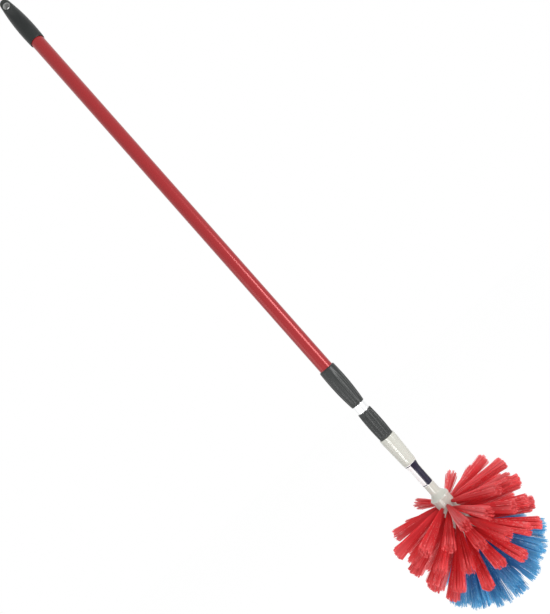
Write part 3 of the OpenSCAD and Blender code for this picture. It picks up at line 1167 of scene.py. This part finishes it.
@dataclass(frozen=True)
class Lock:
    """A bunch of bristles that keep together: its place in the tuft, how much shorter it is, and its tone."""

    place: Vector
    short: float
    tone: float


@dataclass(frozen=True)
class Tuft:
    """One tuft: where it leaves the core, its direction and length, its lean and its place round the pole."""

    root: Vector
    across: Vector
    length: float
    lean: Vector
    turn: Matrix
    cut: Cut


@dataclass
class Head:
    """The tufts of the brush head, each a bundle of fine bristles folded into a hole of the core."""

    flange: float = FLANGE
    core_top: float = 14.3
    core: float = 15.0
    core_taper: float = 28.0
    core_length: float = 76.0
    bristles: int = 160
    lean: float = 2.0
    jitter: float = 0.3
    lock_reach: float = 0.92
    gather: float = 0.3
    gathering: Range = (0.6, 1.3)
    opening: Range = (0.92, 1.05)
    lock_short: float = 0.55
    own_short: float = 0.45
    crown: float = 1.5
    hole: float = 1.95
    sunk: float = 0.8
    root_half: float = 0.2
    wobble: float = 0.35
    waves: float = 9.0
    thinning: float = 0.8
    fanning: float = 0.72
    tones: Range = (0.25, 1.0)
    tuft_tone: float = 0.15
    lock_tone: float = 0.2
    glint_share: float = 0.12
    glint_tone: float = 0.1
    stations: tuple[float, ...] = (0.1, 0.28, 0.5, 0.75)
    rings: tuple[TuftRing, ...] = (
        TuftRing("red_tufts_1", Slot.RED_BRISTLE, Cut.BLUNT, 9, 0.0, 11.0, 105.0, 16.0),
        TuftRing("red_tufts_2", Slot.RED_BRISTLE, Cut.BLUNT, 9, 20.0, 19.0, 105.0, 26.0),
        TuftRing("red_tufts_3", Slot.RED_BRISTLE, Cut.BLUNT, 9, 0.0, 28.0, 105.0, 49.0),
        TuftRing("red_tufts_4", Slot.RED_BRISTLE, Cut.BLUNT, 9, 20.0, 37.0, 103.0, 65.0),
        TuftRing("red_tufts_5", Slot.RED_BRISTLE, Cut.BLUNT, 9, 0.0, 46.0, 99.0, 86.0),
        TuftRing("red_tufts_6", Slot.RED_BRISTLE, Cut.BLUNT, 9, 20.0, 55.0, 95.0, 102.0),
        TuftRing("blue_tufts_1", Slot.BLUE_BRISTLE, Cut.FRAYED, 9, 0.0, 64.0, 86.0, 126.0),
        TuftRing("blue_tufts_2", Slot.BLUE_BRISTLE, Cut.FRAYED, 7, 25.7, 70.6, 70.0, 145.0),
        TuftRing("blue_tufts_3", Slot.BLUE_BRISTLE, Cut.FRAYED, 5, 0.0, 74.4, 42.0, 160.0),
        TuftRing("blue_tufts_4", Slot.BLUE_BRISTLE, Cut.FRAYED, 1, 0.0, 76.0, 0.0, 169.0),
    )

    def core_radius(self, at: float) -> float:
        """The core's radius.

        Args:
            at: the distance below the flange.

        Returns:
            The radius there.
        """
        if at < self.core_taper:
            return self.core_top + (self.core - self.core_top) * at / self.core_taper
        nose = self.core_length - self.core
        if at < nose:
            return self.core
        return math.sqrt(max(0.0, self.core**2 - (at - nose) ** 2))

    def build(self, finishes: Finishes) -> None:
        """Builds and dresses every ring of tufts.

        Args:
            finishes: the brush's materials.
        """
        bristle = self._bristle()
        for ring in self.rings:
            piece = self._ring(ring, bristle)
            place(piece, finishes[ring.slot], ring.slot, Body.HEAD, [ring.node])
        bpy.data.meshes.remove(bristle)

    def _bristle(self) -> bpy.types.Mesh:
        """One bristle of unit width and length with three sides, cut into short lengths.

        Returns:
            Its mesh, which is copied for every bristle.
        """
        bm = bmesh.new()
        bmesh.ops.create_cone(
            bm, cap_ends=True, cap_tris=True, segments=3, radius1=1.0, radius2=1.0, depth=1.0
        )
        bmesh.ops.translate(bm, vec=(0.0, 0.0, 0.5), verts=bm.verts)
        for height in self.stations:
            parts = [*bm.verts, *bm.edges, *bm.faces]
            bmesh.ops.bisect_plane(bm, geom=parts, plane_co=(0.0, 0.0, height), plane_no=POLE_AXIS)
        return mesh_of("bristle", bm)

    def _ring(self, ring: TuftRing, bristle: bpy.types.Mesh) -> bpy.types.Object:
        """Fills a ring with bundles of bristles.

        Args:
            ring: the ring.
            bristle: the bristle's mesh, which is copied.

        Returns:
            The ring's object.
        """
        chance = random.Random(ring.node)
        strands = []
        for i in range(ring.count):
            strands += self._tuft(ring, 360.0 * i / ring.count, chance)
        bm = bmesh.new()
        for _ in strands:
            bm.from_mesh(bristle)
        along = bm.verts.layers.float.new("along")
        shade = bm.verts.layers.float.new("shade")
        size = len(bristle.vertices)
        for index, vert in enumerate(bm.verts):
            bend, tone = strands[index // size]
            vert[along] = vert.co.z
            vert[shade] = tone
            vert.co = bend(vert.co)
        return finish_mesh(f"bristles_{ring.node}", bm, 60.0)

    def _tuft(self, ring: TuftRing, angle: float, chance: random.Random) -> list[Strand]:
        """The bristles of one tuft.

        Args:
            ring: the ring that the tuft is in.
            angle: its place on the ring, in degrees.
            chance: the ring's random numbers.

        Returns:
            For each bristle, where its points go and its shade.
        """
        root = Vector((self.core_radius(ring.root), 0.0, self.flange - ring.root))
        axis = Vector((ring.reach, 0.0, self.flange - ring.drop)) - root
        side = Vector((0.0, 1.0, 0.0))
        lean = side * chance.uniform(-self.lean, self.lean)
        turn = Matrix.Rotation(math.radians(ring.turn + angle - 90.0), 3, "Z")
        tuft = Tuft(root, axis.normalized(), axis.length, lean, turn, ring.cut)
        tuft_tone = chance.uniform(-self.tuft_tone, self.tuft_tone)
        up = tuft.across.cross(side)
        locks = self._locks(ring.cut, side, up, chance)
        strands = []
        for i in range(self.bristles):
            share = math.sqrt((i + 0.5) / self.bristles)
            turned = GOLDEN_ANGLE * i + chance.uniform(-self.jitter, self.jitter)
            out = (side * math.cos(turned) + up * math.sin(turned)) * share
            lock = min(locks, key=lambda near: (near.place - out).length)
            gathered = out.lerp(lock.place, self.gather * chance.uniform(*self.gathering))
            spread = gathered * chance.uniform(*self.opening)
            uneven = self.lock_short * lock.short + self.own_short * chance.random() ** 2
            reach = tuft.length - ring.cut.ragged * uneven - self.crown * share**2
            tone = chance.uniform(*self.tones) + tuft_tone + lock.tone
            bend = self._bend(tuft, out, spread, reach, chance.uniform(0.0, math.tau))
            # These bristles take the lowest tone, which gives them the bristle finish's painted glints.
            if chance.random() <= self.glint_share:
                tone = self.glint_tone
            strands.append((bend, min(1.0, max(0.0, tone))))
        return strands

    def _locks(self, cut: Cut, side: Vector, up: Vector, chance: random.Random) -> list[Lock]:
        """The locks of one tuft, spread over it like the seeds of a sunflower.

        Args:
            cut: the tuft's cut.
            side: the direction across the tuft.
            up: the direction across both the tuft and its side.
            chance: the ring's random numbers.

        Returns:
            The locks.
        """
        locks = []
        for k in range(cut.locks):
            reach = self.lock_reach * math.sqrt((k + 0.5) / cut.locks)
            angle = GOLDEN_ANGLE * k
            centre = (side * math.cos(angle) + up * math.sin(angle)) * reach
            short = chance.random() ** 1.5
            locks.append(Lock(centre, short, chance.uniform(-self.lock_tone, self.lock_tone)))
        return locks

    def _bend(self, tuft: Tuft, out: Vector, spread: Vector, reach: float, phase: float) -> Bend:
        """Where the points of one bristle go.

        Args:
            tuft: the tuft that it is in.
            out: the bristle's place in the hole, in shares of the hole's radius.
            spread: its place at the end, in shares of the tuft's half width.
            reach: its length.
            phase: the start of its wobble.

        Returns:
            A function from a point of the unit bristle to its place.
        """
        across, cut = tuft.across, tuft.cut
        start = tuft.root - across * self.sunk
        wide = Vector((-across.z, 0.0, across.x))
        deep = across.cross(wide)
        low, high = out * self.hole, spread * cut.spread
        swing = (wide * math.cos(phase) + deep * math.sin(phase)) * self.wobble

        def placed(point: Vector) -> Vector:
            """The place of one point of the unit bristle.

            Args:
                point: the point, whose Z is its share of the length.

            Returns:
                Where it goes.
            """
            u = point.z
            half = self.root_half + (cut.tip - self.root_half) * u**self.thinning
            centre = start + across * ((reach + self.sunk) * u) + low.lerp(high, u**self.fanning)
            centre += swing * (u * math.sin(self.waves * u + phase)) + tuft.lean * u
            return tuft.turn @ (centre + wide * (point.x * half) + deep * (point.y * half))

        return placed


class HiddenPieces:
    """Materials of the CAD nodes that show as they are: the core, and what is inside the pole."""

    SLOTS: dict[str, Slot] = {
        "brush_core": Slot.CREAM,
        "guide_bush": Slot.NYLON,
        "expander_collet": Slot.NYLON,
        "lock_spindle": Slot.NYLON,
        "cone_nut": Slot.BLACK,
        "spindle_pin": Slot.SMALL_STEEL,
        "spindle_stop": Slot.SMALL_STEEL,
        "collar_pin": Slot.SMALL_STEEL,
        "core_screw": Slot.SMALL_STEEL,
        "tuft_anchors": Slot.SMALL_STEEL,
    }

    def dress(self, finishes: Finishes) -> None:
        """Gives each node its material.

        Args:
            finishes: the brush's materials.
        """
        for node, slot in self.SLOTS.items():
            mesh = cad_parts[node].data
            mesh.materials.clear()
            mesh.materials.append(finishes[slot])
            LOG.info("%s: dressed in %s", node, slot.value)


@dataclass
class Studio:
    """Camera, floor, lamps and world."""

    target: tuple[float, float, float] = (0.003, 0.0, -0.6208)
    aim: tuple[float, float, float] = (0.0, 0.0, -0.7)
    distance: float = 0.977
    tilt: float = 3.38
    roll: float = 41.47
    focal_px: float = 655.0
    image_px: float = 614.0
    floor: float = -1.9
    floor_half: float = 8.0
    floor_glow: float = 1.08
    shadow_share: float = 0.15
    room_light: float = 0.6

    def build(self) -> None:
        """Sets up the whole studio."""
        self._camera()
        self._floor()
        self._lamp("key_strip", (1.5, -1.35, -0.7), (0.6, 1.04), 25.5)
        self._lamp("front_strip", (-0.8, -1.83, -1.45), (1.0, 0.4), 12.5)
        self._lamp("top_softbox", (0.3, 0.5, 1.7), (1.6, 1.2), 16.0)
        self._lamp("fill_softbox", (-2.1, -0.6, -0.9), (1.4, 1.4), 8.0)
        self._world()

    def _camera(self) -> None:
        """The photograph's camera: level with the pole's lower half and rolled, so the brush lies aslant."""
        camera = add_object("camera", bpy.data.cameras.new("camera"))
        camera.data.sensor_fit = "VERTICAL"
        camera.data.lens = camera.data.sensor_height * self.focal_px / self.image_px
        tilt, roll = math.radians(self.tilt), math.radians(self.roll)
        forward = Vector((0.0, math.cos(tilt), math.sin(tilt)))
        down_pole = Vector((0.0, math.sin(tilt), -math.cos(tilt)))
        across = Vector((1.0, 0.0, 0.0))
        right = across * math.cos(roll) + down_pole * math.sin(roll)
        up = across * math.sin(roll) - down_pole * math.cos(roll)
        turn = Matrix((right, up, -forward)).transposed().to_4x4()
        camera.matrix_world = Matrix.Translation(Vector(self.target) - forward * self.distance) @ turn
        bpy.context.scene.camera = camera

    def _floor(self) -> None:
        """A plain pale floor well below the hanging brush, white to the camera."""
        bm = bmesh.new()
        bmesh.ops.create_grid(bm, x_segments=1, y_segments=1, size=self.floor_half)
        bmesh.ops.translate(bm, vec=(0.0, 0.0, self.floor), verts=bm.verts)
        floor = add_object("floor", mesh_of("floor", bm))
        floor.data.materials.append(self._floor_material())

    def _floor_material(self) -> bpy.types.Material:
        """Pale paint that shows white where the camera sees it, apart from the object's shadow.

        Returns:
            The material.
        """
        graph = Graph("pale floor")
        graph.finish(Base_Color=(0.82, 0.82, 0.82), Roughness=0.9)
        white = graph.add("ShaderNodeEmission", {}, {"Color": (*WHITE, 1.0), "Strength": self.floor_glow})
        paint = Socket(graph, graph.shader.outputs[0])
        whitened = (1.0 - self.shadow_share) * graph.seen()
        mixed = graph.add("ShaderNodeMixShader", {}, {0: whitened, 1: paint, 2: white})
        graph.feed(graph.output.inputs[0], mixed)
        return graph.material

    def _lamp(self, name: str, place_at: tuple, size: tuple[float, float], power: float) -> None:
        """A softbox that faces the middle of the brush.

        Args:
            name: its name.
            place_at: where it stands.
            size: its width and height in metres.
            power: its power in watts.
        """
        lamp = bpy.data.lights.new(name, "AREA")
        lamp.shape = "RECTANGLE"
        lamp.size, lamp.size_y = size
        lamp.energy = power
        box = add_object(name, lamp)
        box.location = place_at
        facing = Vector(self.aim) - Vector(place_at)
        box.rotation_euler = facing.to_track_quat("-Z", "Y").to_euler()

    def _world(self) -> None:
        """A soft white room that is plain white behind the object."""
        world = bpy.data.worlds.new("white room")
        bpy.context.scene.world = world
        world.use_nodes = True
        room = NodeTree(world.node_tree)
        background = next(node for node in room.tree.nodes if node.type == "BACKGROUND")
        strengths = {"Value": room.seen(), "To Min": self.room_light, "To Max": 1.0}
        room.feed(background.inputs["Color"], (*WHITE, 1.0))
        room.feed(background.inputs["Strength"], room.add("ShaderNodeMapRange", {}, strengths))


def main() -> None:
    """Builds the studio and every sub-assembly in order."""
    logging.basicConfig(level=logging.INFO, format="%(name)s: %(message)s")
    bpy.context.scene.view_settings.view_transform = "Standard"
    Studio().build()
    finishes = Finishes()
    Pole().build(finishes)
    BrushSocket().build(finishes)
    Head().build(finishes)
    HiddenPieces().dress(finishes)


if __name__ == "__main__":
    main()
